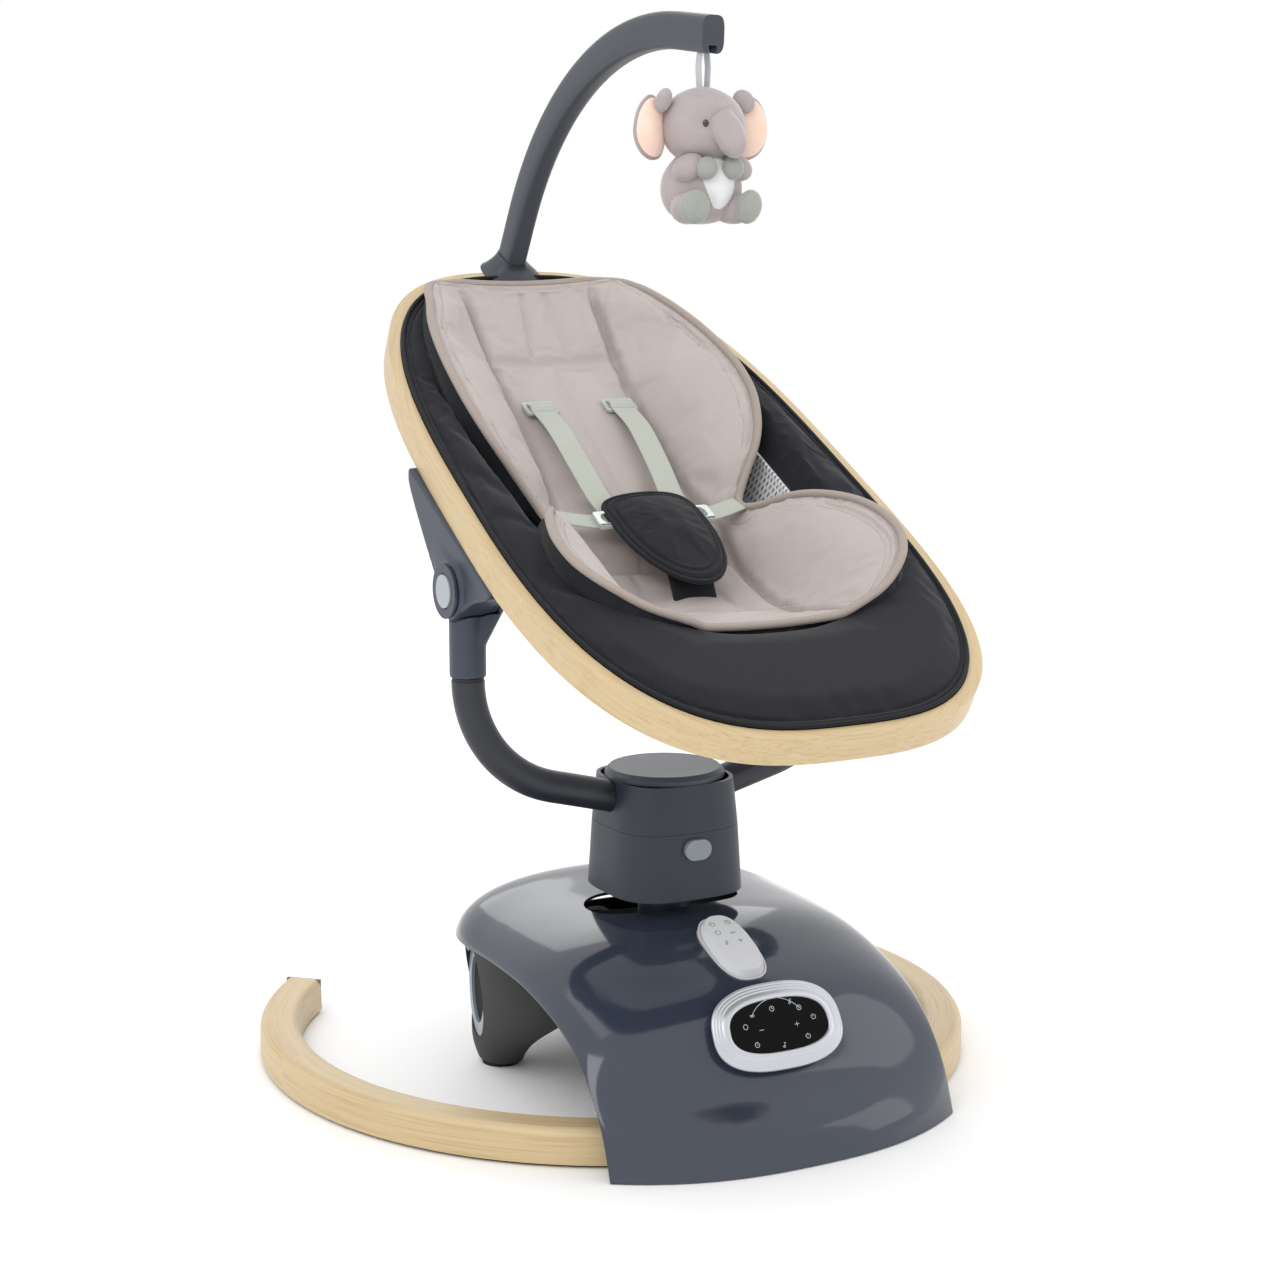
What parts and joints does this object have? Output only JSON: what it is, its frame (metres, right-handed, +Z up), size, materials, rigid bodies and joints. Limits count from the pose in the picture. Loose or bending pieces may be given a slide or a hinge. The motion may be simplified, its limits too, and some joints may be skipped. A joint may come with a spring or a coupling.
{
  "type": "baby swing",
  "caption": "Powered baby swing: glossy base on a C-shaped wooden floor ring, swaying neck, bent tube with reclining oval seat, harness, toy bar and plush elephant.",
  "frame": {"origin": "on the floor, at the middle of the overall box, 14 mm behind the neck's upright axis", "axes": "+Z up, -Y towards the child's feet and the control panel, +X to the right as seen from the front"},
  "size_m": [0.69, 0.682, 0.9851],
  "materials": {
    "oak": "ash veneer, satin lacquer",
    "rubber": "moulded rubber",
    "cap_grey": "moulded",
    "gloss_shell": "high gloss moulded ABS",
    "silver_trim": "satin silver",
    "panel_glass": "black touch glass",
    "remote_white": "satin white",
    "matte_black": "textured",
    "grille_cloth": "acoustic cloth",
    "steel": "turned",
    "copper": "enamelled copper wire",
    "board_green": "circuit board",
    "acetal": "acetal",
    "cast_metal": "die cast",
    "neck_plastic": "fine textured",
    "painted_tube": "satin powder coat",
    "button_grey": "satin",
    "charcoal_cloth": "woven polyester",
    "white_mesh": "spacer mesh",
    "taupe_cloth": "soft jersey",
    "webbing": "woven webbing",
    "clear_clip": "translucent moulded",
    "plush": "short pile plush",
    "ribbon": "woven ribbon"
  },
  "bodies": {
    "base": {"floor_ring": "oak", "ring_grip_strip": "rubber", "ring_end_caps": "cap_grey", "base_shell": "gloss_shell", "panel_ring": "silver_trim", "panel_glass": "panel_glass", "remote_dock": "matte_black", "underbody": "matte_black", "speaker_rings": "silver_trim", "speaker_grilles": "grille_cloth", "speaker_drivers": "matte_black", "rear_feet": "rubber", "chassis_plate": "steel", "swing_shaft": "steel", "swing_bearings": "steel", "shaft_nut": "steel", "drive_coil": "copper", "circuit_boards": "board_green", "glide_track": "acetal", "power_inlet": "matte_black", "ring_saddle": "matte_black"},
    "swing": {"swing_arm": "cast_metal", "neck_lower": "neck_plastic", "slot_cover": "matte_black", "drive_magnets": "steel", "glide_pads": "acetal"},
    "turntable": {"turn_spindle": "steel", "bent_tube": "painted_tube", "neck_upper": "neck_plastic", "neck_cap": "neck_plastic", "stem_left": "neck_plastic", "stem_right": "neck_plastic", "tube_collars": "matte_black", "recline_pins": "steel"},
    "seat": {"seat_frame": "oak", "seat_border": "charcoal_cloth", "seat_basin": "white_mesh", "infant_insert": "taupe_cloth", "seat_bracket_left": "neck_plastic", "seat_bracket_right": "neck_plastic", "hub_rings": "button_grey", "bracket_screws": "steel", "shoulder_strap_left": "webbing", "shoulder_strap_right": "webbing", "waist_clips": "clear_clip", "waist_straps": "webbing", "buckle_pad": "charcoal_cloth", "buckle": "clear_clip", "crotch_strap": "charcoal_cloth", "toy_bar_socket": "neck_plastic"},
    "toy_arm": {"toy_bar": "neck_plastic"},
    "toy": {"plush_toy": "plush", "toy_loop": "ribbon"},
    "neck_button": {"neck_key": "button_grey"},
    "hub_button_l": {"hub_button_left": "button_grey"},
    "hub_button_r": {"hub_button_right": "button_grey"},
    "remote_control": {"remote": "remote_white"},
    "adjuster_l": {"strap_adjuster_left": "clear_clip"},
    "adjuster_r": {"strap_adjuster_right": "clear_clip"},
    "buckle_button": {"buckle_key": "clear_clip"}
  },
  "joints": [
    {"name": "sway", "type": "hinge", "parent": "base", "child": "swing", "pos_m": [0, 0.126, 0.105], "axis": [0, 0, 1], "range_deg": [-11, 11], "stiffness_Nm_per_rad": 8},
    {"name": "seat_turn", "type": "hinge", "parent": "swing", "child": "turntable", "pos_m": [0, -0.014, 0.247], "axis": [0, 0, 1], "range_deg": [-90, 90]},
    {"name": "seat_recline", "type": "hinge", "parent": "turntable", "child": "seat", "pos_m": [0, -0.014, 0.48], "axis": [1, 0, 0], "range_deg": [-12, 14]},
    {"name": "toy_bar_lift", "type": "slide", "parent": "seat", "child": "toy_arm", "axis": [0, -0.4729, 0.8811], "range_m": [0, 0.03]},
    {"name": "toy_swing", "type": "hinge", "parent": "toy_arm", "child": "toy", "pos_m": [0, -0.08174, 0.95108], "axis": [1, 0, 0], "range_deg": [-40, 40]},
    {"name": "neck_key_press", "type": "slide", "parent": "swing", "child": "neck_button", "axis": [0, 1, 0], "range_m": [0, 0.003], "stiffness_N_per_m": 1200},
    {"name": "left_button_press", "type": "slide", "parent": "seat", "child": "hub_button_l", "axis": [1, 0, 0], "range_m": [0, 0.004], "stiffness_N_per_m": 1200},
    {"name": "right_button_press", "type": "slide", "parent": "seat", "child": "hub_button_r", "axis": [-1, 0, 0], "range_m": [0, 0.004], "stiffness_N_per_m": 1200},
    {"name": "remote_lift", "type": "slide", "parent": "base", "child": "remote_control", "axis": [0, -0.4067, 0.9135], "range_m": [0, 0.05]},
    {"name": "left_adjuster_slide", "type": "slide", "parent": "seat", "child": "adjuster_l", "axis": [0, -0.9667, -0.2559], "range_m": [-0.008, 0.012]},
    {"name": "right_adjuster_slide", "type": "slide", "parent": "seat", "child": "adjuster_r", "axis": [0, -0.9667, -0.2559], "range_m": [-0.008, 0.012]},
    {"name": "buckle_press", "type": "slide", "parent": "seat", "child": "buckle_button", "axis": [0, -0.4729, 0.8811], "range_m": [0, 0.0025], "stiffness_N_per_m": 800}
  ]
}
